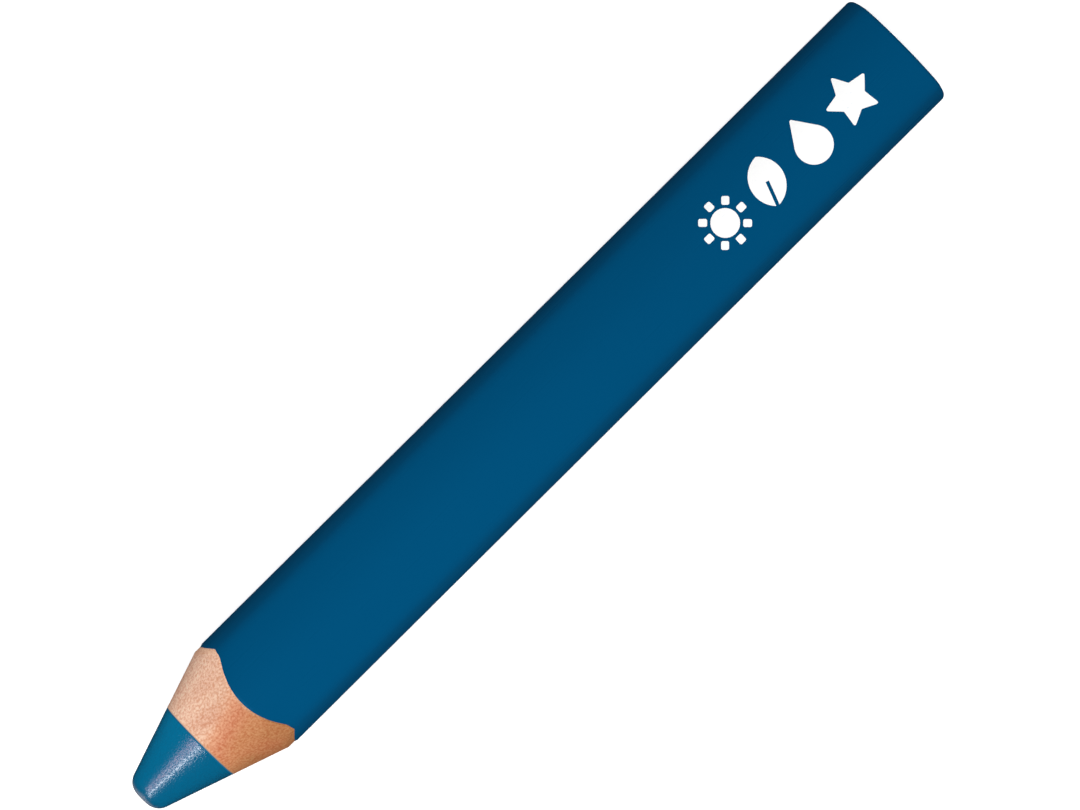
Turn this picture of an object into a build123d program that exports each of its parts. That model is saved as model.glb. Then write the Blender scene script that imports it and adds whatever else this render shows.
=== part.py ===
from build123d import *
from math import tan, radians
import os

# A thick wood-cased colouring crayon: a jumbo coloured core glued between two grooved wood
# slats, primed, lacquered, dipped at the blunt end and sharpened to a rounded point.
#
# Frame: the crayon lies on one of its four faces, along X. The point is at -X, the dipped
# end at +X, and the printed face is on top (+Z). The origin is under its middle, on the floor.
# Millimetres throughout.

os.makedirs("parts", exist_ok=True)

# Barrel: a soft square, four crowned faces that meet in rounded edges
LENGTH = 115.6
WIDTH = 14.7  # across two opposite faces
FACE_RADIUS = 10.8  # crown of each face
CORNER_RADIUS = 3.0  # soft edge between two faces

# Core and wood
CORE_DIAMETER = 10.1
CORE_BOND = 0.1  # glue jacket round the core
SEAM_GLUE = 0.1  # glue line between the two slats

# Sharpened point
CONE_HALF_ANGLE = 18.7
TIP_DIAMETER = 4.16  # where the flank, carried on straight, meets the tip plane
TIP_ROUND = 1.9

# Finish: every coat runs from the cone to the blunt end
UNDERCOAT = 0.08
COLOUR_COAT = 0.12
END_DIP = 0.35  # depth of the dip over the sawn end
DIP_WRAP = 1.2  # how far the dip reaches back along the barrel
END_ROUND = 0.5

# Stamped row of pictures on the top face
MARK_THICKNESS = 0.06
MARK_HEIGHT = 5.8
MARK_LENGTH = 24.9
MARK_FROM_END = 5.2
MARK_SOFTNESS = 0.2  # rounding of the pictures' points
SUN_DISC = 1.6  # radius of the sun's disc
RAY_COUNT = 8
RAY_GAP = 0.35  # between the disc and its rays
RAY_WIDTH = 0.85
LEAF_WIDTH = 4.0
LEAF_LEAN = 20
VEIN_WIDTH = 0.4
DROP_RADIUS = 2.15
STAR_POINTS = 5
STAR_REACH = 3.15  # radius of the star's outer corners, before they are softened
STAR_WAIST = 1.65  # radius of its inner corners

# Places that follow from the sizes
AXIS_Z = WIDTH / 2
X_TIP = -LENGTH / 2
X_END = LENGTH / 2
X_SAWN = X_END - END_DIP
X_DIP_EDGE = X_END - DIP_WRAP
FACE_OFFSET = FACE_RADIUS - WIDTH / 2  # from the axis to a face's centre of curvature
BOND_RADIUS = CORE_DIAMETER / 2 + CORE_BOND
WOOD_INSET = UNDERCOAT + COLOUR_COAT
MARK_RADIUS = MARK_HEIGHT / 2
X_ROW = X_END - MARK_FROM_END - MARK_LENGTH  # start of the stamped row


def station(x):
    """Cross-section plane at x: its own origin is on the axis, its own Y points up."""
    return Plane(origin=(x, 0, AXIS_Z), x_dir=(0, 1, 0), z_dir=(1, 0, 0))


def barrel_outline(inset):
    """The soft square, drawn inwards by inset so that two of them are parallel curves."""
    with BuildSketch() as outline:
        for turn in range(4):
            centre = Vector(0, -FACE_OFFSET).rotate(Axis.Z, 90 * turn)
            with Locations(centre):
                Circle(FACE_RADIUS - inset, mode=Mode.INTERSECT if turn else Mode.ADD)
        fillet(outline.vertices(), CORNER_RADIUS - inset)
    return outline.sketch


# Everything that the sharpener leaves: a rounded tip, the cone's flank, and room for the barrel
REACH = WIDTH
X_REACH = X_TIP + (REACH - TIP_DIAMETER / 2) / tan(radians(CONE_HALF_ANGLE))
with BuildPart() as sharpened:
    with BuildSketch(Plane(origin=(0, 0, AXIS_Z), x_dir=(1, 0, 0), z_dir=(0, -1, 0))) as profile:
        with BuildLine():
            Polyline(
                (X_TIP, 0),
                (X_TIP, TIP_DIAMETER / 2),
                (X_REACH, REACH),
                (X_END, REACH),
                (X_END, 0),
                close=True,
            )
        make_face()
        tip_corner = profile.vertices().group_by(Axis.X)[0].sort_by(Axis.Y)[-1]
        fillet(tip_corner, TIP_ROUND)
    revolve(axis=Axis((0, 0, AXIS_Z), (1, 0, 0)))

# Core: one extruded stick of pigment, bare at the point
with BuildPart() as core:
    with BuildSketch(station(X_TIP)):
        Circle(CORE_DIAMETER / 2)
    extrude(amount=X_SAWN - X_TIP)
    add(sharpened.part, mode=Mode.INTERSECT)
core.part.label = "core"
export_step(core.part, "parts/core.step")

# Glue jacket that holds the core in its groove
with BuildPart() as core_bond:
    with BuildSketch(station(X_TIP)):
        Circle(BOND_RADIUS)
        Circle(CORE_DIAMETER / 2, mode=Mode.SUBTRACT)
    extrude(amount=X_SAWN - X_TIP)
    add(sharpened.part, mode=Mode.INTERSECT)
core_bond.part.label = "core_bond"
export_step(core_bond.part, "parts/core_bond.step")

# Slats: the wood casing is two grooved halves that meet at the height of the axis
for name, side in (("slat_upper", 1), ("slat_lower", -1)):
    with BuildPart() as slat:
        with BuildSketch(station(X_TIP)):
            add(barrel_outline(WOOD_INSET))
            with Locations((0, side * SEAM_GLUE / 2)):
                edge = Align.MIN if side > 0 else Align.MAX
                Rectangle(WIDTH, WIDTH, align=(Align.CENTER, edge), mode=Mode.INTERSECT)
            Circle(BOND_RADIUS, mode=Mode.SUBTRACT)
        extrude(amount=X_SAWN - X_TIP)
        add(sharpened.part, mode=Mode.INTERSECT)
    slat.part.label = name
    export_step(slat.part, f"parts/{name}.step")

# Seam glue: one strip on each side of the core
for name, side in (("seam_glue_left", 1), ("seam_glue_right", -1)):
    with BuildPart() as strip:
        with BuildSketch(station(X_TIP)):
            add(barrel_outline(WOOD_INSET))
            edge = Align.MIN if side > 0 else Align.MAX
            Rectangle(WIDTH, SEAM_GLUE, align=(edge, Align.CENTER), mode=Mode.INTERSECT)
            Circle(BOND_RADIUS, mode=Mode.SUBTRACT)
        extrude(amount=X_SAWN - X_TIP)
        add(sharpened.part, mode=Mode.INTERSECT)
    strip.part.label = name
    export_step(strip.part, f"parts/{name}.step")

# Undercoat: the primer on the bare wood, as long as the wood
with BuildPart() as undercoat:
    with BuildSketch(station(X_TIP)):
        add(barrel_outline(COLOUR_COAT))
        add(barrel_outline(WOOD_INSET), mode=Mode.SUBTRACT)
    extrude(amount=X_SAWN - X_TIP)
    add(sharpened.part, mode=Mode.INTERSECT)
undercoat.part.label = "undercoat"
export_step(undercoat.part, "parts/undercoat.step")

# Colour lacquer: the barrel's outer sleeve, up to the edge of the dip
with BuildPart() as colour_lacquer:
    with BuildSketch(station(X_TIP)):
        add(barrel_outline(0))
        add(barrel_outline(COLOUR_COAT), mode=Mode.SUBTRACT)
    extrude(amount=X_DIP_EDGE - X_TIP)
    add(sharpened.part, mode=Mode.INTERSECT)
colour_lacquer.part.label = "colour_lacquer"
export_step(colour_lacquer.part, "parts/colour_lacquer.step")

# End dip: a shallow cup of lacquer over the sawn end, flush with the barrel
with BuildPart() as end_dip:
    with BuildSketch(station(X_DIP_EDGE)):
        add(barrel_outline(0))
    extrude(amount=DIP_WRAP)
    fillet(end_dip.faces().sort_by(Axis.X)[-1].edges(), END_ROUND)
    with BuildSketch(station(X_DIP_EDGE)):
        add(barrel_outline(COLOUR_COAT))
    extrude(amount=X_SAWN - X_DIP_EDGE, mode=Mode.SUBTRACT)
end_dip.part.label = "end_dip"
export_step(end_dip.part, "parts/end_dip.step")


# Stamped pictures: thin white foil that follows the crown of the top face
def sun():
    """A disc with short separate rays."""
    ray_start = SUN_DISC + RAY_GAP
    with BuildSketch() as picture:
        Circle(SUN_DISC)
        with PolarLocations((ray_start + MARK_RADIUS) / 2, RAY_COUNT):
            RectangleRounded(MARK_RADIUS - ray_start, RAY_WIDTH, MARK_SOFTNESS)
    return picture.sketch


def leaf():
    """A pointed leaf, split from its stalk end by the middle vein, that leans forward."""
    arc_radius = (MARK_RADIUS**2 + (LEAF_WIDTH / 2) ** 2) / LEAF_WIDTH
    with BuildSketch() as picture:
        for side in (1, -1):
            with Locations((side * (arc_radius - LEAF_WIDTH / 2), 0)):
                Circle(arc_radius, mode=Mode.ADD if side > 0 else Mode.INTERSECT)
        with Locations((0, -MARK_RADIUS)):
            vein = (Align.CENTER, Align.MIN)
            Rectangle(VEIN_WIDTH, MARK_RADIUS, align=vein, mode=Mode.SUBTRACT)
    return picture.sketch.rotate(Axis.Z, -LEAF_LEAN)


def drop():
    """A drop: a round belly whose sides run up, tangent, to a small round point."""
    with BuildSketch() as picture:
        with Locations((0, DROP_RADIUS - MARK_RADIUS)):
            Circle(DROP_RADIUS)
        with Locations((0, MARK_RADIUS - MARK_SOFTNESS)):
            Circle(MARK_SOFTNESS)
        make_hull()
    return picture.sketch


def star():
    """A five-pointed star with softened corners."""
    corners = []
    for step in range(2 * STAR_POINTS):
        reach = STAR_WAIST if step % 2 else STAR_REACH
        corners.append(Vector(0, reach).rotate(Axis.Z, 180 / STAR_POINTS * step))
    with BuildSketch() as picture:
        Polygon(*corners, align=None)
        fillet(picture.vertices(), MARK_SOFTNESS)
    return picture.sketch


# Skin of foil over the whole row, from which each picture is cut
with BuildPart() as foil:
    with BuildSketch(station(X_ROW)):
        with Locations((0, -FACE_OFFSET)):
            Circle(FACE_RADIUS + MARK_THICKNESS)
            Circle(FACE_RADIUS, mode=Mode.SUBTRACT)
    extrude(amount=MARK_LENGTH)

pictures = (sun, leaf, drop, star)
pitch = (MARK_LENGTH - MARK_HEIGHT) / (len(pictures) - 1)
for place, picture in enumerate(pictures):
    with BuildPart() as stamp:
        with BuildSketch(Plane((X_ROW + MARK_RADIUS + place * pitch, 0, AXIS_Z))):
            add(picture())
        extrude(amount=WIDTH)
        add(foil.part, mode=Mode.INTERSECT)
    stamp.part.label = f"stamped_{picture.__name__}"
    export_step(stamp.part, f"parts/{stamp.part.label}.step")
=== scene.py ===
"""A thick wood-cased colouring crayon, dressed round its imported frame.

Everything is in metres, in the frame's own axes: point at -X, dipped end at +X, stamped face up.
Sections are drawn by their outward direction, the "turn": 0 looks to +Y, a quarter looks up.
"""

from math import asin, atan2, copysign, cos, hypot, pi, radians, sin, sqrt, tan

import bmesh
import bpy
from mathutils import Matrix, Vector, noise


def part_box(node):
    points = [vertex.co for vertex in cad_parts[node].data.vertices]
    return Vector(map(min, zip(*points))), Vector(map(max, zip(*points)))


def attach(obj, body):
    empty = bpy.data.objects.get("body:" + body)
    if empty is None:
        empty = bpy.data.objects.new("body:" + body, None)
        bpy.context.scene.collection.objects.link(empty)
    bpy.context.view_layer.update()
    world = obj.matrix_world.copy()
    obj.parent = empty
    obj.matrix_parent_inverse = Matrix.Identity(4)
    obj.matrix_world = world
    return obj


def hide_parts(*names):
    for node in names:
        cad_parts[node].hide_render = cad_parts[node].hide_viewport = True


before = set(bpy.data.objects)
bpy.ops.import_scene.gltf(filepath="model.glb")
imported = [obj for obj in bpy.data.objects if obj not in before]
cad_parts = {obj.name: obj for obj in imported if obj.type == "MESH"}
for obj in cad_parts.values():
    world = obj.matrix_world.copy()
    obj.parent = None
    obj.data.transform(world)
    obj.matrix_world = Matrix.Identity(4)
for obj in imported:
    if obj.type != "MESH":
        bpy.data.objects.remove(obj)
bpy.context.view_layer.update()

MM = 0.001

# ---------------------------------------------------------------- sizes that the frame gives
core_low, core_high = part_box("core")
dip_low, dip_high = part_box("end_dip")
X_TIP = core_low.x
X_SAWN = core_high.x
X_DIP_EDGE = dip_low.x
X_END = dip_high.x
CORE_RADIUS = (core_high.y - core_low.y) / 2
WIDTH = dip_high.y - dip_low.y
AXIS_Z = WIDTH / 2

# ---------------------------------------------------------------- sizes of the section and the point
FACE_RADIUS = 10.8 * MM
CORNER_RADIUS = 3.0 * MM
COLOUR_COAT = 0.12 * MM
UNDERCOAT = 0.08 * MM
WOOD_INSET = COLOUR_COAT + UNDERCOAT
CORE_BOND = 0.1 * MM
SEAM_GLUE = 0.1 * MM
BOND_RADIUS = CORE_RADIUS + CORE_BOND
CONE = radians(18.7)
TIP_RADIUS = 2.08 * MM  # where the flank, carried on straight, meets the tip plane
TIP_ROUND = 1.9 * MM
END_ROUND = 0.5 * MM
MARK_THICKNESS = 0.06 * MM

FACE_OFFSET = FACE_RADIUS - WIDTH / 2  # from the axis to a face's centre of curvature
CORNER_REACH = FACE_RADIUS - CORNER_RADIUS
CORNER_OFFSET = (sqrt(2 * CORNER_REACH**2 - FACE_OFFSET**2) - FACE_OFFSET) / 2
CORNER_TURN = atan2(CORNER_OFFSET, CORNER_OFFSET + FACE_OFFSET)

QUARTER = pi / 2

# ---------------------------------------------------------------- sizes of the meshes
SEGMENTS = 256  # round the axis
WELD = 0.2e-6  # points closer than this become one
ON_PLANE = 1e-7  # and points this near a cutting plane count as on it
CREASE = radians(35)  # edges that turn by more than this stay sharp


# ---------------------------------------------------------------- the section and the cone
def soft_square(turn, inset):
    """Point of the barrel's section, from the axis, drawn inwards by inset."""
    quarter = round(turn / QUARTER) * QUARTER
    lean = turn - quarter
    if abs(lean) <= CORNER_TURN:
        centre, radius = Vector((0, -FACE_OFFSET, 0)), FACE_RADIUS
    else:
        centre, radius = Vector((0, CORNER_OFFSET, copysign(CORNER_OFFSET, lean))), CORNER_RADIUS
    point = centre + (radius - inset) * Vector((0, cos(lean), sin(lean)))
    return Matrix.Rotation(quarter, 3, "X") @ point


def round_section(turn, radius):
    """Point of a round section, from the axis."""
    return Vector((0, radius * cos(turn), radius * sin(turn)))


def at(x, point):
    """A section's point carried to x along the barrel."""
    return Vector((x, point.y, AXIS_Z + point.z))


def on_cone(point, set_back=0.0):
    """A section's point carried to where the sharpener's cone cuts it."""
    return at(X_TIP + set_back + (hypot(point.y, point.z) - TIP_RADIUS) / tan(CONE), point)


def mix(a, b, share):
    return a + (b - a) * share


def ease(value):
    """Runs from 0 to 1 with soft ends, and stays there outside them."""
    held = min(1.0, max(0.0, value))
    return held * held * (3 - 2 * held)


def ripple(turn, grain, seed):
    """Smooth random value round the axis, 0 to 1, the same on every run."""
    return 0.5 + 0.5 * noise.noise(Vector((grain * cos(turn), grain * sin(turn), seed)))


# ---------------------------------------------------------------- drawing pieces
def draw_rings(rules):
    """A closed skin drawn ring after ring. Each rule gives a ring's point for a turn."""
    bm = bmesh.new()
    turn = bm.verts.layers.float.new("turn")
    ring = bmesh.ops.create_circle(bm, segments=SEGMENTS, radius=1.0)["verts"]
    for vert in ring:
        vert[turn] = atan2(vert.co.y, vert.co.x)
        vert.co = rules[0](vert[turn])
    edges = list(bm.edges)
    for rule in rules[1:]:
        grown = bmesh.ops.extrude_edge_only(bm, edges=edges)["geom"]
        ring = {item for item in grown if isinstance(item, bmesh.types.BMVert)}
        edges = [item for item in grown if isinstance(item, bmesh.types.BMEdge)]
        edges = [edge for edge in edges if set(edge.verts) <= ring]
        for vert in ring:
            vert.co = rule(vert[turn])
    bmesh.ops.remove_doubles(bm, verts=bm.verts, dist=WELD)
    bmesh.ops.recalc_face_normals(bm, faces=bm.faces)
    return bm


def cut_mesh(bm, through, direction, one_side=False):
    """Cuts along a plane, dropping what lies behind it if one_side. Gives the edges on the plane."""
    everything = bm.verts[:] + bm.edges[:] + bm.faces[:]
    cut = bmesh.ops.bisect_plane(
        bm, geom=everything, plane_co=through, plane_no=direction, clear_inner=one_side, dist=ON_PLANE
    )["geom_cut"]
    return [item for item in cut if isinstance(item, bmesh.types.BMEdge)]


def keep_side(bm, through, direction):
    """Cuts a solid with a plane, keeps what lies along direction and closes the cut."""
    edges = cut_mesh(bm, through, direction, one_side=True)
    bmesh.ops.holes_fill(bm, edges=edges, sides=0)


def finish_piece(bm, name, material, node):
    """Makes the mesh a named piece that stands for a CAD node."""
    mesh = bpy.data.meshes.new(name)
    bm.to_mesh(mesh)
    bm.free()
    mesh.shade_smooth()
    mesh.set_sharp_from_angle(angle=CREASE)
    mesh.materials.append(material)
    piece = bpy.data.objects.new(name, mesh)
    bpy.context.scene.collection.objects.link(piece)
    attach(piece, "root")
    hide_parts(node)


# ---------------------------------------------------------------- node helpers
def add_node(tree, kind, inputs=(), **settings):
    """One shader node. An input is a value, or the socket that feeds it."""
    made = tree.nodes.new(kind)
    for name, value in settings.items():
        setattr(made, name, value)
    for key, value in dict(inputs).items():
        if isinstance(value, bpy.types.NodeSocket):
            tree.links.new(value, made.inputs[key])
        else:
            made.inputs[key].default_value = value
    return made


def math_node(tree, operation, *values):
    return add_node(tree, "ShaderNodeMath", dict(enumerate(values)), operation=operation).outputs[0]


def vector_math(tree, operation, *values):
    inputs = dict(enumerate(values))
    return add_node(tree, "ShaderNodeVectorMath", inputs, operation=operation).outputs[0]


def weigh(tree, *terms, base=None):
    """Adds up values, each times its weight, on top of a base."""
    total = base
    for value, weight in terms:
        part = value if weight == 1 else math_node(tree, "MULTIPLY", value, weight)
        total = part if total is None else math_node(tree, "ADD", total, part)
    return total


def parts_of(tree, place):
    """The X, Y and Z of a place."""
    return add_node(tree, "ShaderNodeSeparateXYZ", {"Vector": place}).outputs


def noise_node(tree, place, scale, detail):
    inputs = {"Vector": place, "Scale": scale, "Detail": detail}
    return add_node(tree, "ShaderNodeTexNoise", inputs).outputs["Fac"]


def blend_colours(tree, factor, a, b, kind="MIX"):
    """The Mix node's sockets 0, 6 and 7 are the factor and its two colours; output 2 is the result."""
    inputs = {0: factor, 6: a, 7: b}
    return add_node(tree, "ShaderNodeMix", inputs, data_type="RGBA", blend_type=kind).outputs[2]


def spread(tree, value, low, high, to_low=0.0, to_high=1.0):
    """Maps a value's range onto another, clamped."""
    inputs = {"Value": value, "From Min": low, "From Max": high, "To Min": to_low, "To Max": to_high}
    return add_node(tree, "ShaderNodeMapRange", inputs, clamp=True).outputs["Result"]


def colour_ramp(tree, factor, stops):
    made = add_node(tree, "ShaderNodeValToRGB", {"Fac": factor})
    ramp = made.color_ramp
    while len(ramp.elements) < len(stops):
        ramp.elements.new(0.5)
    for element, (place, colour) in zip(ramp.elements, stops):
        element.position = place
        element.color = colour
    return made.outputs["Color"]


def new_group(name, inputs, outputs):
    """An empty shader group with named sockets: its tree, its inputs and its output node."""
    group = bpy.data.node_groups.new(name, "ShaderNodeTree")
    for label, kind, value in inputs:
        socket = group.interface.new_socket(name=label, in_out="INPUT", socket_type=kind)
        if value is not None:
            socket.default_value = value
    for label, kind in outputs:
        group.interface.new_socket(name=label, in_out="OUTPUT", socket_type=kind)
    entry = group.nodes.new("NodeGroupInput")
    leave = group.nodes.new("NodeGroupOutput")
    return group, entry.outputs, leave


def use_group(tree, group, inputs):
    return add_node(tree, "ShaderNodeGroup", inputs, node_tree=group).outputs


def new_material(name):
    """A material with its Principled shader and its object coordinates."""
    material = bpy.data.materials.new(name)
    material.use_nodes = True
    tree = material.node_tree
    shader = tree.nodes["Principled BSDF"]
    place = add_node(tree, "ShaderNodeTexCoord").outputs["Object"]
    return material, tree, shader, place


def bump(tree, shader, height, distance, strength):
    inputs = {"Height": height, "Distance": distance, "Strength": strength}
    raised = add_node(tree, "ShaderNodeBump", inputs).outputs["Normal"]
    tree.links.new(raised, shader.inputs["Normal"])


# ---------------------------------------------------------------- sizes and colours of the materials
PAINTED_LIGHT_REACH = 3.5 * MM  # from the middle to where the painted light makes primer and glue palest
LACQUER_SHADE_FROM = -38 * MM  # painted shade: the lacquer darkens along the barrel from here
LACQUER_SHADE_TO = 50 * MM  # to here
WOOD_LIGHT_LEAN = 0.35  # how far the painted light and shade across the wood lean along the barrel
WOOD_TONE_WANDER = 2.6 * MM  # and how far they stray from straight, at random
WOOD_SHADED_AT = 11.2 * MM  # where the wood's painted shade is darkest
WOOD_LIT_AT = 23.7 * MM  # and where its painted light is palest
DRAG_FROM = CORE_RADIUS + 0.04 * MM  # pigment covers the glue up to this far from the axis
DRAG_TO = CORE_RADIUS + 0.07 * MM  # and fades out up to this far
CORE_LIGHT_FROM = -0.5 * MM  # painted light makes the core paler from here
CORE_LIGHT_TO = 4.6 * MM  # to here, towards its left
PATCH_START = X_TIP - 1 * MM  # the shine sees the table from here
PATCH_FULL = X_TIP - 8 * MM  # and wholly from here, ahead of the tip
PATCH_HALF = 2 * MM  # half the width of that patch
PATCH_FADE = 8 * MM  # and where it ends on each side
BLACK = (0, 0, 0, 1)
WHITE = (1, 1, 1, 1)


# ---------------------------------------------------------------- shared effects
def make_grain():
    """Noise whose grains are stretched along the barrel. Scale is grains per metre."""
    group, entry, leave = new_group(
        "Grain",
        [
            ("Place", "NodeSocketVector", None),
            ("Scale", "NodeSocketFloat", 1000.0),
            ("Stretch", "NodeSocketFloat", 1.0),
            ("Low", "NodeSocketFloat", 0.3),
            ("High", "NodeSocketFloat", 0.7),
        ],
        [("Mask", "NodeSocketFloat")],
    )
    along = math_node(group, "DIVIDE", 1.0, entry["Stretch"])
    squeeze = add_node(group, "ShaderNodeCombineXYZ", {"X": along, "Y": 1.0, "Z": 1.0}).outputs[0]
    moved = vector_math(group, "MULTIPLY", entry["Place"], squeeze)
    value = noise_node(group, moved, entry["Scale"], 2.5)
    mask = spread(group, value, entry["Low"], entry["High"])
    group.links.new(mask, leave.inputs["Mask"])
    return group


def make_handling():
    """Hairline scuffs and faint smears that a crayon gets in its box."""
    group, entry, leave = new_group(
        "Handling",
        [("Place", "NodeSocketVector", None)],
        [("Scuffs", "NodeSocketFloat"), ("Smears", "NodeSocketFloat")],
    )
    long_ways = vector_math(group, "MULTIPLY", entry["Place"], (0.04, 1.0, 1.0))
    lines = noise_node(group, long_ways, 2600.0, 1.0)
    patch = noise_node(group, entry["Place"], 140.0, 2.0)
    group.links.new(spread(group, lines, 0.66, 0.74), leave.inputs["Scuffs"])
    group.links.new(spread(group, patch, 0.35, 0.7), leave.inputs["Smears"])
    return group


grain_group = make_grain()
handling_group = make_handling()


def grain(tree, place, scale, stretch=1.0, low=0.3, high=0.7):
    inputs = {"Place": place, "Scale": scale, "Stretch": stretch, "Low": low, "High": high}
    return use_group(tree, grain_group, inputs)["Mask"]


def cells_of(tree, place):
    """The fine mottle of cut wood cells, which shows through the primer too."""
    return grain(tree, place, 4300.0, 1.1, 0.36, 0.64)


def long_grain(tree, place):
    """The wood's grain as it shows through lacquer and foil."""
    return grain(tree, place, 1500.0, 26.0, 0.2, 0.8)


def moved_by(tree, place, step):
    """Object coordinates moved aside, so that two grains don't coincide."""
    return vector_math(tree, "ADD", place, (step, step, step))


def painted_light_across(tree, place):
    """Painted light and shade across the wood: runs from 0 at its shaded, ruddy right side to 1 at its
    lit, pale left side.
    """
    return spread(tree, parts_of(tree, place)["Y"], -PAINTED_LIGHT_REACH, PAINTED_LIGHT_REACH)


# ---------------------------------------------------------------- materials
def make_lacquer():
    """Deep blue satin lacquer over sanded wood: faint orange peel, soft smears, rare hairlines, and
    painted shade that darkens it towards the dipped end.
    """
    material, tree, shader, place = new_material("Blue lacquer")
    wear = use_group(tree, handling_group, {"Place": place})
    along = spread(tree, parts_of(tree, place)["X"], LACQUER_SHADE_FROM, LACQUER_SHADE_TO)
    cloud = grain(tree, place, 90.0, 3.0)
    # painted shade: the blue darkens along the barrel towards the dipped end, with a little random tone
    # from the cloud
    wear_and_shade = weigh(tree, (cloud, 0.15), (along, 0.85))
    colour = blend_colours(tree, wear_and_shade, (0.0003, 0.0800, 0.1950, 1), (0.0002, 0.0650, 0.1620, 1))
    tree.links.new(colour, shader.inputs["Base Color"])
    dull = weigh(tree, (wear["Smears"], 0.08), (wear["Scuffs"], 1))
    tree.links.new(weigh(tree, (dull, 0.6), base=0.40), shader.inputs["Roughness"])
    shader.inputs["Specular IOR Level"].default_value = 0.28
    shader.inputs["Specular Tint"].default_value = (0.1, 0.5, 0.9, 1)
    peel = grain(tree, place, 900.0, 1.6, 0.25, 0.75)
    height = weigh(tree, (peel, 1), (long_grain(tree, place), 0.5), (wear["Scuffs"], -0.3))
    bump(tree, shader, height, 0.006 * MM, 0.6)
    return material


def make_primer():
    """Thin filler coat: a fine line at the cut, and mottled like the wood where the lacquer is gone.
    Painted light makes it pale on its left and painted shade ruddy on its right.
    """
    material, tree, shader, place = new_material("Pale primer")
    # painted light and shade: ruddy on the shaded right, pale on the lit left
    ruddy, pale = (0.460, 0.195, 0.078, 1), (0.960, 0.585, 0.400, 1)
    colour = blend_colours(tree, painted_light_across(tree, place), ruddy, pale)
    cells = cells_of(tree, place)
    shade = blend_colours(tree, cells, (0.84, 0.70, 0.64, 1), (1.08, 1.14, 1.16, 1))
    colour = blend_colours(tree, 1.0, colour, shade, "MULTIPLY")
    tree.links.new(colour, shader.inputs["Base Color"])
    shader.inputs["Roughness"].default_value = 0.7
    shader.inputs["Specular IOR Level"].default_value = 0.1
    bump(tree, shader, cells, 0.012 * MM, 0.6)
    return material


def make_glue():
    """Dried wood glue: warm, and stained by the core that it holds. Painted light makes it pale on its
    left and painted shade ruddy on its right.
    """
    material, tree, shader, place = new_material("Dried glue")
    # painted light and shade: ruddy on the shaded right, pale on the lit left
    ruddy, pale = (0.52, 0.26, 0.13, 1), (0.88, 0.56, 0.39, 1)
    colour = blend_colours(tree, painted_light_across(tree, place), ruddy, pale)
    fleck = grain(tree, place, 3000.0, 2.0)
    colour = blend_colours(tree, weigh(tree, (fleck, 0.15)), colour, (0.50, 0.22, 0.10, 1))
    # the sharpener drags pigment over the half of the glue that touches the core
    parts = parts_of(tree, place)
    level = math_node(tree, "SUBTRACT", parts["Z"], AXIS_Z)
    square = weigh(tree, (parts["Y"], parts["Y"]), (level, level))
    reach = math_node(tree, "SQRT", square)
    dragged = spread(tree, reach, DRAG_FROM, DRAG_TO, 1.0, 0.0)
    colour = blend_colours(tree, dragged, colour, (0.002, 0.130, 0.262, 1))
    tree.links.new(colour, shader.inputs["Base Color"])
    shader.inputs["Roughness"].default_value = 0.5
    shader.inputs["Specular IOR Level"].default_value = 0.3
    bump(tree, shader, fleck, 0.008 * MM, 0.5)
    return material


def make_cedar():
    """Sharpened cedar: painted light and shade across it, with random tone, long fibres, open pores and
    bright cut flecks.
    """
    material, tree, shader, place = new_material("Sharpened cedar")
    # painted light and shade: the wood runs from ruddy on its shaded right to pale on its lit left,
    # leaning a little along the barrel and wandering at random
    wander = grain(tree, place, 160.0, 1.5, 0.0, 1.0)
    parts = parts_of(tree, place)
    light_across_wood = weigh(tree, (parts["Y"], 1), (parts["X"], -WOOD_LIGHT_LEAN), (wander, WOOD_TONE_WANDER))
    colour = colour_ramp(
        tree,
        spread(tree, light_across_wood, WOOD_SHADED_AT, WOOD_LIT_AT),
        [
            (0.05, (0.500, 0.215, 0.086, 1)),
            (0.25, (0.610, 0.268, 0.122, 1)),
            (0.38, (0.680, 0.275, 0.146, 1)),
            (0.48, (0.790, 0.385, 0.225, 1)),
            (0.60, (0.905, 0.585, 0.415, 1)),
            (0.80, (0.985, 0.640, 0.465, 1)),
        ],
    )
    ruddy = grain(tree, moved_by(tree, place, 0.11), 240.0, 1.5, 0.48, 0.66)
    colour = blend_colours(tree, weigh(tree, (ruddy, 0.30)), colour, (0.62, 0.20, 0.10, 1))
    cells = cells_of(tree, place)
    shade = blend_colours(tree, cells, (0.86, 0.68, 0.60, 1), (1.08, 1.16, 1.20, 1))
    colour = blend_colours(tree, 1.0, colour, shade, "MULTIPLY")
    pores = grain(tree, moved_by(tree, place, 0.37), 3400.0, 1.5, 0.62, 0.72)
    colour = blend_colours(tree, weigh(tree, (pores, 0.30)), colour, (0.50, 0.17, 0.08, 1))
    tree.links.new(colour, shader.inputs["Base Color"])
    shader.inputs["Roughness"].default_value = 0.66
    shader.inputs["Specular IOR Level"].default_value = 0.22
    fibre = grain(tree, place, 2600.0, 7.0, 0.25, 0.75)
    cut = add_node(
        tree,
        "ShaderNodeTexWave",
        {"Vector": place, "Scale": 900.0, "Distortion": 1.5, "Detail": 1.0, "Detail Scale": 300.0},
        wave_type="BANDS",
        bands_direction="X",
    ).outputs["Fac"]
    height = weigh(tree, (fibre, 0.4), (cut, 0.2), (cells, 1.2), (pores, -1.2))
    bump(tree, shader, height, 0.014 * MM, 0.7)
    return material


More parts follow.
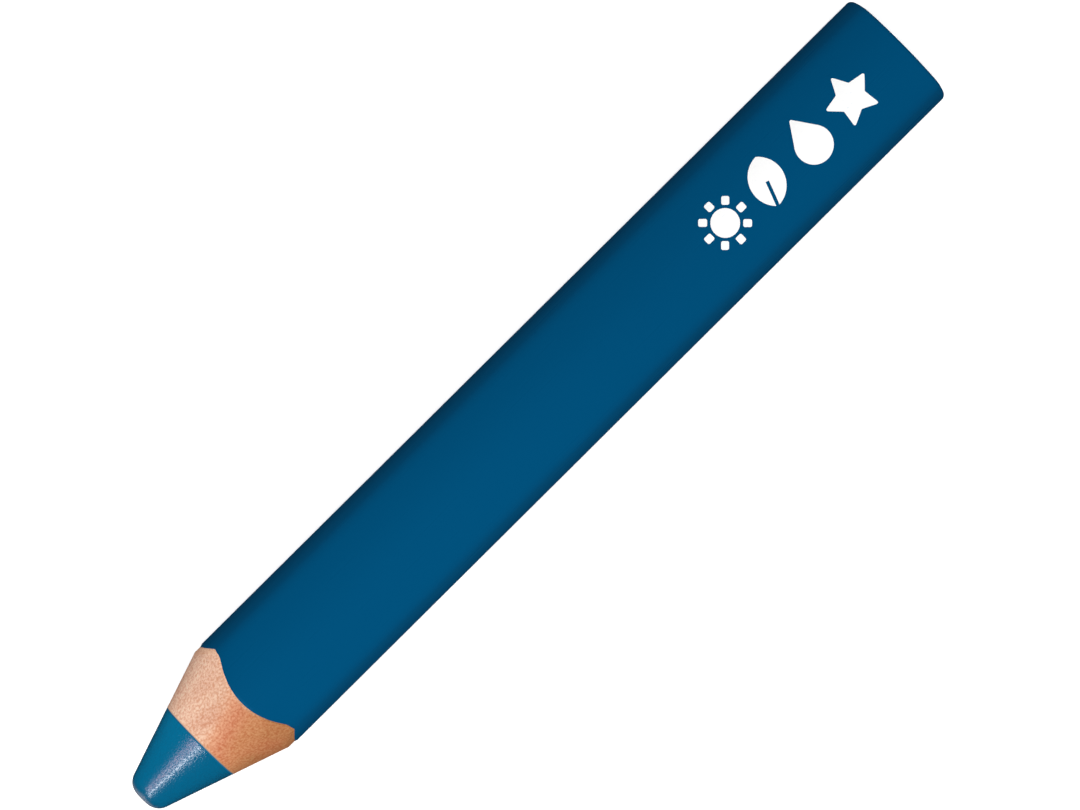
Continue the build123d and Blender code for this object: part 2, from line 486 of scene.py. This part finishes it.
def make_core():
    """Waxy blue pigment: granular, with a mauve bloom in its sheen, and painted light that makes its
    left side paler.
    """
    material, tree, shader, place = new_material("Blue pigment core")
    # painted light: the blue grows paler towards the core's lit left side
    painted_light_left = spread(tree, parts_of(tree, place)["Y"], CORE_LIGHT_FROM, CORE_LIGHT_TO)
    colour = blend_colours(tree, painted_light_left, (0.0003, 0.130, 0.262, 1), (0.0005, 0.215, 0.420, 1))
    patch = grain(tree, place, 500.0, 2.0)
    colour = blend_colours(tree, weigh(tree, (patch, 0.12)), colour, (0.001, 0.18, 0.35, 1))
    tree.links.new(colour, shader.inputs["Base Color"])
    fine = grain(tree, place, 5000.0)
    tree.links.new(weigh(tree, (fine, 0.08), base=0.19), shader.inputs["Roughness"])
    shader.inputs["Specular IOR Level"].default_value = 1.0
    shader.inputs["Coat Roughness"].default_value = 0.15
    shader.inputs["Coat IOR"].default_value = 1.8
    gloss = grain(tree, place, 5600.0, 1.0, 0.46, 0.60)
    tree.links.new(gloss, shader.inputs["Coat Weight"])
    scored = grain(tree, place, 1400.0, 9.0, 0.2, 0.8)
    bump(tree, shader, weigh(tree, (fine, 1), (scored, 0.25)), 0.018 * MM, 1.0)
    return material


def make_foil():
    """White stamping foil: flat, a touch glossy, with tiny pinholes and pressed-in wood grain."""
    material, tree, shader, place = new_material("White foil")
    holes = grain(tree, place, 5200.0, 1.5, 0.70, 0.76)
    foil, beneath = (0.99, 0.99, 0.985, 1), (0.35, 0.52, 0.64, 1)
    colour = blend_colours(tree, weigh(tree, (holes, 0.35)), foil, beneath)
    tree.links.new(colour, shader.inputs["Base Color"])
    smear = grain(tree, place, 300.0, 2.0)
    tree.links.new(weigh(tree, (smear, 0.10), base=0.34), shader.inputs["Roughness"])
    shader.inputs["Specular IOR Level"].default_value = 0.35
    height = weigh(tree, (long_grain(tree, place), 1), (holes, -1))
    bump(tree, shader, height, 0.006 * MM, 0.6)
    return material


def make_paper():
    """The white table: pale to look at, and darker to what it lights, as a studio's black cards do."""
    material, tree, shader, place = new_material("White table")
    shader.inputs["Roughness"].default_value = 0.9
    shader.inputs["Specular IOR Level"].default_value = 0.0
    tooth = grain(tree, place, 40.0, 1.0, 0.2, 0.8)
    pale = blend_colours(tree, tooth, (0.93, 0.93, 0.93, 1), (0.95, 0.95, 0.95, 1))
    ray = add_node(tree, "ShaderNodeLightPath").outputs
    parts = parts_of(tree, place)
    ahead = spread(tree, parts["X"], PATCH_START, PATCH_FULL)
    aside = math_node(tree, "ABSOLUTE", parts["Y"])
    narrow = spread(tree, aside, PATCH_HALF, PATCH_FADE, 1.0, 0.0)
    before_tip = math_node(tree, "MULTIPLY", ahead, narrow)
    mirrored = blend_colours(tree, before_tip, (0.01, 0.01, 0.01, 1), (0.80, 0.72, 0.74, 1))
    dim = blend_colours(tree, ray["Is Glossy Ray"], (0.10, 0.10, 0.11, 1), mirrored)
    colour = blend_colours(tree, ray["Is Camera Ray"], dim, pale)
    tree.links.new(colour, shader.inputs["Base Color"])
    glow = blend_colours(tree, ray["Is Camera Ray"], BLACK, (0.50, 0.50, 0.50, 1))
    tree.links.new(glow, shader.inputs["Emission Color"])
    shader.inputs["Emission Strength"].default_value = 1.0
    return material


lacquer = make_lacquer()
primer = make_primer()
glue = make_glue()
cedar = make_cedar()
pigment = make_core()
white_foil = make_foil()
paper = make_paper()


# ---------------------------------------------------------------- lacquer and primer
LIP = 0.03 * MM  # the crisp edge that the sharpener leaves is still a little soft
CHIP = 0.05 * MM  # how far the brittle lacquer flakes back from the cut
SIDE_FLAKE = 0.85 * MM  # and how far more on the two side faces
CHIP_GRAIN = 14.0  # how fast that varies round the axis
CHIP_SEED = 3.0
BARREL_RINGS = 40


def lacquer_front(turn, inset):
    """The lacquer's cut edge, flaked back by a varying hair."""
    chip = CHIP * ripple(turn, CHIP_GRAIN, CHIP_SEED) ** 2
    sideways = max(0.0, cos(2 * turn)) ** 1.5
    return on_cone(soft_square(turn, inset), chip + SIDE_FLAKE * sideways)


def barrel_ring(share):
    """Outer ring of the barrel: straight at the dip, scalloped at the cone."""
    def rule(turn):
        front = lacquer_front(turn, 0.0).x + LIP
        return at(mix(X_DIP_EDGE, front, share), soft_square(turn, 0.0))
    return rule


def cut_ring(inset):
    return lambda turn: lacquer_front(turn, inset)


def straight_ring(x, inset):
    return lambda turn: at(x, soft_square(turn, inset))


def cone_ring(inset):
    return lambda turn: on_cone(soft_square(turn, inset))


def round_ring(x, radius):
    return lambda turn: at(x, round_section(turn, radius))


def middle_point(x):
    """A ring drawn together to one point on the axis."""
    return lambda turn: Vector((x, 0, AXIS_Z))


def make_lacquer_sleeve():
    rules = [barrel_ring(step / BARREL_RINGS) for step in range(BARREL_RINGS + 1)]
    rules += [cut_ring(share * COLOUR_COAT) for share in (0.1, 0.4, 0.7, 1.0)]
    rules += [straight_ring(X_DIP_EDGE, COLOUR_COAT), straight_ring(X_DIP_EDGE, 0.0)]
    finish_piece(draw_rings(rules), "lacquer_sleeve", lacquer, "colour_lacquer")


def make_primer_sleeve():
    rules = [straight_ring(X_SAWN, COLOUR_COAT)]
    rules += [cone_ring(COLOUR_COAT + share * UNDERCOAT) for share in (0.0, 0.5, 1.0)]
    rules += [straight_ring(X_SAWN, WOOD_INSET), straight_ring(X_SAWN, COLOUR_COAT)]
    finish_piece(draw_rings(rules), "primer_sleeve", primer, "undercoat")


# ---------------------------------------------------------------- wood and glue
WOOD_RINGS = 30
FURROW = 0.012 * MM  # depth of the sharpener's marks in the wood
FURROW_GRAIN = 2.2 / MM


def wood_ring(share):
    """Ring on the cone, from the primer at 0 to the core's glue at 1."""
    def rule(turn):
        outer = soft_square(turn, WOOD_INSET)
        inner = round_section(turn, BOND_RADIUS)
        point = on_cone(outer.lerp(inner, share))
        rise = noise.noise(point * FURROW_GRAIN) * sin(pi * share)
        return point + Vector((FURROW * rise, 0, 0))
    return rule


def wood_tube():
    """Both slats and their seam as one tube, before it is sawn apart."""
    rules = [straight_ring(X_SAWN, WOOD_INSET)]
    rules += [wood_ring(step / WOOD_RINGS) for step in range(WOOD_RINGS + 1)]
    rules += [round_ring(X_SAWN, BOND_RADIUS), straight_ring(X_SAWN, WOOD_INSET)]
    return draw_rings(rules)


def make_slats():
    """The two halves of the wood, sawn from one tube so that their faces match."""
    for name, node, side in (("upper_slat", "slat_upper", 1), ("lower_slat", "slat_lower", -1)):
        bm = wood_tube()
        keep_side(bm, (0, 0, AXIS_Z + side * SEAM_GLUE / 2), (0, 0, side))
        finish_piece(bm, name, cedar, node)


def make_seam_glue():
    """The strips between the slats, sawn from the same tube."""
    for name, node, side in (
        ("left_seam_glue", "seam_glue_left", 1),
        ("right_seam_glue", "seam_glue_right", -1),
    ):
        bm = wood_tube()
        keep_side(bm, (0, 0, AXIS_Z - SEAM_GLUE / 2), (0, 0, 1))
        keep_side(bm, (0, 0, AXIS_Z + SEAM_GLUE / 2), (0, 0, -1))
        keep_side(bm, (0, 0, AXIS_Z), (0, side, 0))
        finish_piece(bm, name, glue, node)


def make_core_glue():
    def jacket(radius):
        return lambda turn: on_cone(round_section(turn, radius))
    rules = [round_ring(X_SAWN, BOND_RADIUS)]
    rules += [jacket(CORE_RADIUS + share * CORE_BOND) for share in (1.0, 0.5, 0.0)]
    rules += [round_ring(X_SAWN, CORE_RADIUS), round_ring(X_SAWN, BOND_RADIUS)]
    finish_piece(draw_rings(rules), "core_glue", glue, "core_bond")


# ---------------------------------------------------------------- core
TIP_SWEEP = QUARTER - CONE
TIP_FLAT = TIP_RADIUS - TIP_ROUND * tan(TIP_SWEEP / 2)
FLAT_RINGS = 4
TIP_RINGS = 24
FLANK_RINGS = 40
WAX_DENT = 0.02 * MM
WAX_GRAIN = 0.9 / MM


def core_ring(x, radius, dent):
    """Ring of the bare core, dented inwards a little by wear of the wax."""
    def rule(turn):
        point = at(x, round_section(turn, radius))
        wear_and_shade = dent * (0.5 + 0.5 * noise.noise(point * WAX_GRAIN))
        return at(x + wear_and_shade * sin(CONE), round_section(turn, radius - wear_and_shade * cos(CONE)))
    return rule


def make_core_stick():
    rules = [middle_point(X_TIP)]
    for step in range(1, FLAT_RINGS + 1):
        rules.append(core_ring(X_TIP, TIP_FLAT * step / FLAT_RINGS, 0.0))
    for step in range(1, TIP_RINGS + 1):
        swept = TIP_SWEEP * step / TIP_RINGS
        x = X_TIP + TIP_ROUND * (1 - cos(swept))
        radius = TIP_FLAT + TIP_ROUND * sin(swept)
        rules.append(core_ring(x, radius, WAX_DENT * step / TIP_RINGS))
    start = TIP_FLAT + TIP_ROUND * sin(TIP_SWEEP)
    for step in range(1, FLANK_RINGS + 1):
        radius = mix(start, CORE_RADIUS, step / FLANK_RINGS)
        x = X_TIP + (radius - TIP_RADIUS) / tan(CONE)
        rules.append(core_ring(x, radius, WAX_DENT * (1 - step / FLANK_RINGS)))
    rules += [core_ring(X_SAWN, CORE_RADIUS, 0.0), middle_point(X_SAWN)]
    finish_piece(draw_rings(rules), "core_stick", pigment, "core")


# ---------------------------------------------------------------- end dip
END_RINGS = 8
FACE_RINGS = 30
MENISCUS = 0.05 * MM  # the dried lacquer sinks a little towards the middle
MENISCUS_SHARE = 0.4  # of the way from the rim to the middle, in which it sinks
CORE_SHADOW = 0.03 * MM  # and shows the core's edge through it
CORE_BLUR = 0.5 * MM  # width of that edge


def end_face_ring(share):
    """Ring on the flat end, from its rim at 0 to the middle at 1."""
    def rule(turn):
        point = soft_square(turn, END_ROUND) * (1 - share)
        inside_core = CORE_RADIUS - hypot(point.y, point.z)
        sunk = MENISCUS * ease(share / MENISCUS_SHARE)
        shadow = CORE_SHADOW * ease(0.5 + inside_core / CORE_BLUR)
        return at(X_END - sunk - shadow, point)
    return rule


def make_end_cap():
    rules = [straight_ring(X_DIP_EDGE, 0.0), straight_ring(X_END - END_ROUND, 0.0)]
    for step in range(1, END_RINGS + 1):
        swept = QUARTER * step / END_RINGS
        x = X_END - END_ROUND * (1 - sin(swept))
        rules.append(straight_ring(x, END_ROUND * (1 - cos(swept))))
    rules += [end_face_ring(step / FACE_RINGS) for step in range(1, FACE_RINGS + 1)]
    rules += [
        middle_point(X_SAWN),
        straight_ring(X_SAWN, COLOUR_COAT),
        straight_ring(X_DIP_EDGE, COLOUR_COAT),
        straight_ring(X_DIP_EDGE, 0.0),
    ]
    finish_piece(draw_rings(rules), "end_cap", lacquer, "end_dip")


# ---------------------------------------------------------------- stamped pictures
MARK_RADIUS = 2.9 * MM
MARK_SOFTNESS = 0.2 * MM
SUN_DISC = 1.6 * MM
RAY_COUNT = 8
RAY_GAP = 0.35 * MM
RAY_WIDTH = 0.85 * MM
LEAF_WIDTH = 4.0 * MM
LEAF_LEAN = radians(20)
VEIN_WIDTH = 0.4 * MM
DROP_RADIUS = 2.15 * MM
STAR_POINTS = 5
STAR_REACH = 3.15 * MM
STAR_WAIST = 1.65 * MM
FOIL_STRIP = 0.2 * MM  # width of the strips in which the flat foil bends over the face
DISC_SEGMENTS = 64
DROP_SEGMENTS = 96
SOFT_SEGMENTS = 6
LEAF_WELD = 1e-6


def soften(bm, verts, radius):
    """Rounds corners of a flat outline that all open by the same angle."""
    corner = verts[0]
    arms = [edge.other_vert(corner).co - corner.co for edge in corner.link_edges]
    opening = arms[0].angle(arms[1])
    bmesh.ops.bevel(
        bm, geom=verts, offset=radius / tan(opening / 2), offset_type="OFFSET", affect="VERTICES",
        segments=SOFT_SEGMENTS, profile=0.5, material=-1,
    )


def lay_foil(bm, name, node):
    """Gives a flat picture its thickness, bends it over the face and puts it in place."""
    low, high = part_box(node)
    middle = (low.x + high.x) / 2
    for vert in bm.verts:
        vert.co.z = 0.0
    grown = bmesh.ops.extrude_face_region(bm, geom=bm.faces[:])["geom"]
    top = [item for item in grown if isinstance(item, bmesh.types.BMVert)]
    bmesh.ops.translate(bm, verts=top, vec=(0, 0, MARK_THICKNESS))
    bmesh.ops.recalc_face_normals(bm, faces=bm.faces)
    reach = max(abs(vert.co.y) for vert in bm.verts)
    strips = int(reach / FOIL_STRIP)
    for step in range(-strips, strips + 1):
        cut_mesh(bm, (0, step * FOIL_STRIP, 0), (0, 1, 0))
    for vert in bm.verts:
        radius = FACE_RADIUS + vert.co.z
        crown = sqrt(radius**2 - vert.co.y**2)
        vert.co = Vector((middle + vert.co.x, vert.co.y, AXIS_Z - FACE_OFFSET + crown))
    finish_piece(bm, name, white_foil, node)


def disc(bm, radius, segments):
    """A flat filled disc round the middle of its picture."""
    return bmesh.ops.create_circle(bm, cap_ends=True, radius=radius, segments=segments)["verts"]


def sun_picture():
    """A disc with short separate rays."""
    bm = bmesh.new()
    disc(bm, SUN_DISC, DISC_SEGMENTS)
    start = SUN_DISC + RAY_GAP
    size = Matrix.Diagonal((MARK_RADIUS - start, RAY_WIDTH, 1, 1))
    out = Matrix.Translation(((MARK_RADIUS + start) / 2, 0, 0))
    for ray in range(RAY_COUNT):
        place = Matrix.Rotation(2 * pi * ray / RAY_COUNT, 4, "Z") @ out @ size
        box = bmesh.ops.create_grid(bm, x_segments=1, y_segments=1, size=0.5, matrix=place)
        soften(bm, box["verts"], MARK_SOFTNESS)
    return bm


def leaf_picture():
    """Two arcs that meet in points, split from the stalk by the middle vein."""
    arc = (MARK_RADIUS**2 + (LEAF_WIDTH / 2) ** 2) / LEAF_WIDTH
    half = asin(MARK_RADIUS / arc)
    bm = bmesh.new()
    for vert in disc(bm, 1.0, DISC_SEGMENTS):
        turn = atan2(vert.co.y, vert.co.x)
        side = 1 if abs(turn) <= QUARTER else -1
        lean = (turn if side > 0 else copysign(pi, turn) - turn) / QUARTER * half
        vert.co = Vector((side * (arc * cos(lean) - arc + LEAF_WIDTH / 2), arc * sin(lean), 0))
    bmesh.ops.remove_doubles(bm, verts=bm.verts, dist=LEAF_WELD)
    split_vein(bm)
    bmesh.ops.rotate(bm, verts=bm.verts, matrix=Matrix.Rotation(-LEAF_LEAN, 3, "Z"))
    return bm


def split_vein(bm):
    """Opens the slot of the leaf's vein, from the stalk up to the middle."""
    cut_mesh(bm, (VEIN_WIDTH / 2, 0, 0), (1, 0, 0))
    cut_mesh(bm, (-VEIN_WIDTH / 2, 0, 0), (1, 0, 0))
    cut_mesh(bm, (0, 0, 0), (0, 1, 0))
    slot = []
    for face in bm.faces:
        middle = face.calc_center_median()
        if abs(middle.x) < VEIN_WIDTH / 2 and middle.y < 0:
            slot.append(face)
    bmesh.ops.delete(bm, geom=slot, context="FACES")


def drop_picture():
    """A round belly whose sides run up, tangent, to a small round point."""
    bm = bmesh.new()
    rise = 2 * MARK_RADIUS - DROP_RADIUS - MARK_SOFTNESS  # from the belly's centre to the point's
    opening = asin((DROP_RADIUS - MARK_SOFTNESS) / rise)
    for vert in disc(bm, 1.0, DROP_SEGMENTS):
        turn = atan2(vert.co.y, vert.co.x)
        upper = opening < turn < pi - opening
        centre, radius = (rise, MARK_SOFTNESS) if upper else (0.0, DROP_RADIUS)
        lift = centre + DROP_RADIUS - MARK_RADIUS
        vert.co = Vector((radius * cos(turn), lift + radius * sin(turn), 0))
    return bm


def star_picture():
    """A star with softened corners and waists."""
    bm = bmesh.new()
    corners = disc(bm, 1.0, 2 * STAR_POINTS)
    for step, vert in enumerate(corners):
        turn = QUARTER + pi * step / STAR_POINTS
        reach = STAR_WAIST if step % 2 else STAR_REACH
        vert.co = Vector((reach * cos(turn), reach * sin(turn), 0))
    soften(bm, corners[0::2], MARK_SOFTNESS)
    soften(bm, [vert for vert in corners[1::2] if vert.is_valid], MARK_SOFTNESS)
    return bm


make_lacquer_sleeve()
make_primer_sleeve()
make_slats()
make_seam_glue()
make_core_glue()
make_core_stick()
make_end_cap()
lay_foil(sun_picture(), "foil_sun", "stamped_sun")
lay_foil(leaf_picture(), "foil_leaf", "stamped_leaf")
lay_foil(drop_picture(), "foil_drop", "stamped_drop")
lay_foil(star_picture(), "foil_star", "stamped_star")


# ---------------------------------------------------------------- table, lights and camera
TABLE_REACH = 3.0  # metres from its middle to its edge
LENS = 216.85  # millimetres, on a sensor 36 wide
CAMERA_LEAN = radians(2.07)
CAMERA_TURN = radians(1.4)
CAMERA_PLACE = (2.85 * MM, -0.12 * MM, 0.706)  # from the crayon's middle, before it leans
CRAYON_SLANT = radians(44.8)  # how steeply the crayon runs up to the right in the picture


def make_table():
    """A table so wide that its edges are never seen."""
    bm = bmesh.new()
    bmesh.ops.create_grid(bm, x_segments=1, y_segments=1, size=TABLE_REACH)
    mesh = bpy.data.meshes.new("table")
    bm.to_mesh(mesh)
    bm.free()
    mesh.materials.append(paper)
    table = bpy.data.objects.new("table", mesh)
    bpy.context.scene.collection.objects.link(table)


def soft_light(name, lean, heading, distance, size, watts, in_gloss=False, tint=(1, 1, 1)):
    """An area light that looks at the crayon's middle.

    In degrees, lean is from straight up and heading from +X. Its height is size[0], its width size[1].
    It lights either the surfaces themselves or, with in_gloss, only their shine.
    """
    middle = Vector((0, 0, AXIS_Z))
    turned = Matrix.Rotation(radians(heading), 4, "Z") @ Matrix.Rotation(radians(lean), 4, "Y")
    out = turned @ Vector((0, 0, 1))
    data = bpy.data.lights.new(name, "AREA")
    data.shape = "RECTANGLE"
    data.size, data.size_y = size
    data.energy = watts
    data.color = tint
    light = bpy.data.objects.new(name, data)
    light.matrix_world = Matrix.Translation(middle + out * distance) @ turned
    light.visible_camera = False
    light.visible_glossy = in_gloss
    light.visible_diffuse = not in_gloss
    data.cycles.use_multiple_importance_sampling = in_gloss
    bpy.context.scene.collection.objects.link(light)


def make_world():
    """A dim room that the camera sees as a white backdrop."""
    world = bpy.data.worlds.new("Studio")
    world.use_nodes = True
    bpy.context.scene.world = world
    tree = world.node_tree
    backdrop = tree.nodes["Background"]
    ray = add_node(tree, "ShaderNodeLightPath").outputs
    dim = blend_colours(tree, ray["Is Glossy Ray"], (0.03, 0.03, 0.032, 1), (0.01, 0.01, 0.01, 1))
    colour = blend_colours(tree, ray["Is Camera Ray"], dim, WHITE)
    tree.links.new(colour, backdrop.inputs["Color"])


def make_camera():
    """Almost straight above the crayon."""
    data = bpy.data.cameras.new("camera")
    data.sensor_width = 36
    data.lens = LENS
    data.clip_end = 20
    camera = bpy.data.objects.new("camera", data)
    leaned = Matrix.Rotation(-CAMERA_LEAN, 4, "X") @ Matrix.Rotation(-CAMERA_TURN, 4, "Y")
    stand = Matrix.Translation((0, 0, AXIS_Z)) @ leaned @ Matrix.Translation(CAMERA_PLACE)
    camera.matrix_world = stand @ Matrix.Rotation(-CRAYON_SLANT, 4, "Z")
    bpy.context.scene.collection.objects.link(camera)
    bpy.context.scene.camera = camera


make_table()
make_world()
make_camera()
soft_light("overhead", 14, 180, 1.1, (1.0, 1.0), 12.3)
soft_light("end fill", 80, 0, 1.0, (0.30, 0.45), 3.0)
soft_light("right fill", 73, -90, 1.0, (0.45, 0.45), 4.8)
soft_light("left fill", 73, 90, 1.0, (0.45, 0.45), 2.6)
soft_light("window", 44, 168, 0.9, (0.36, 0.28), 0.74, in_gloss=True, tint=(1.0, 0.62, 0.68))
soft_light("strip", 54, 190.5, 0.9, (0.74, 0.09), 1.90, in_gloss=True, tint=(0.95, 0.95, 1.0))
bpy.context.scene.view_settings.view_transform = "Standard"
bpy.context.scene.view_settings.look = "None"
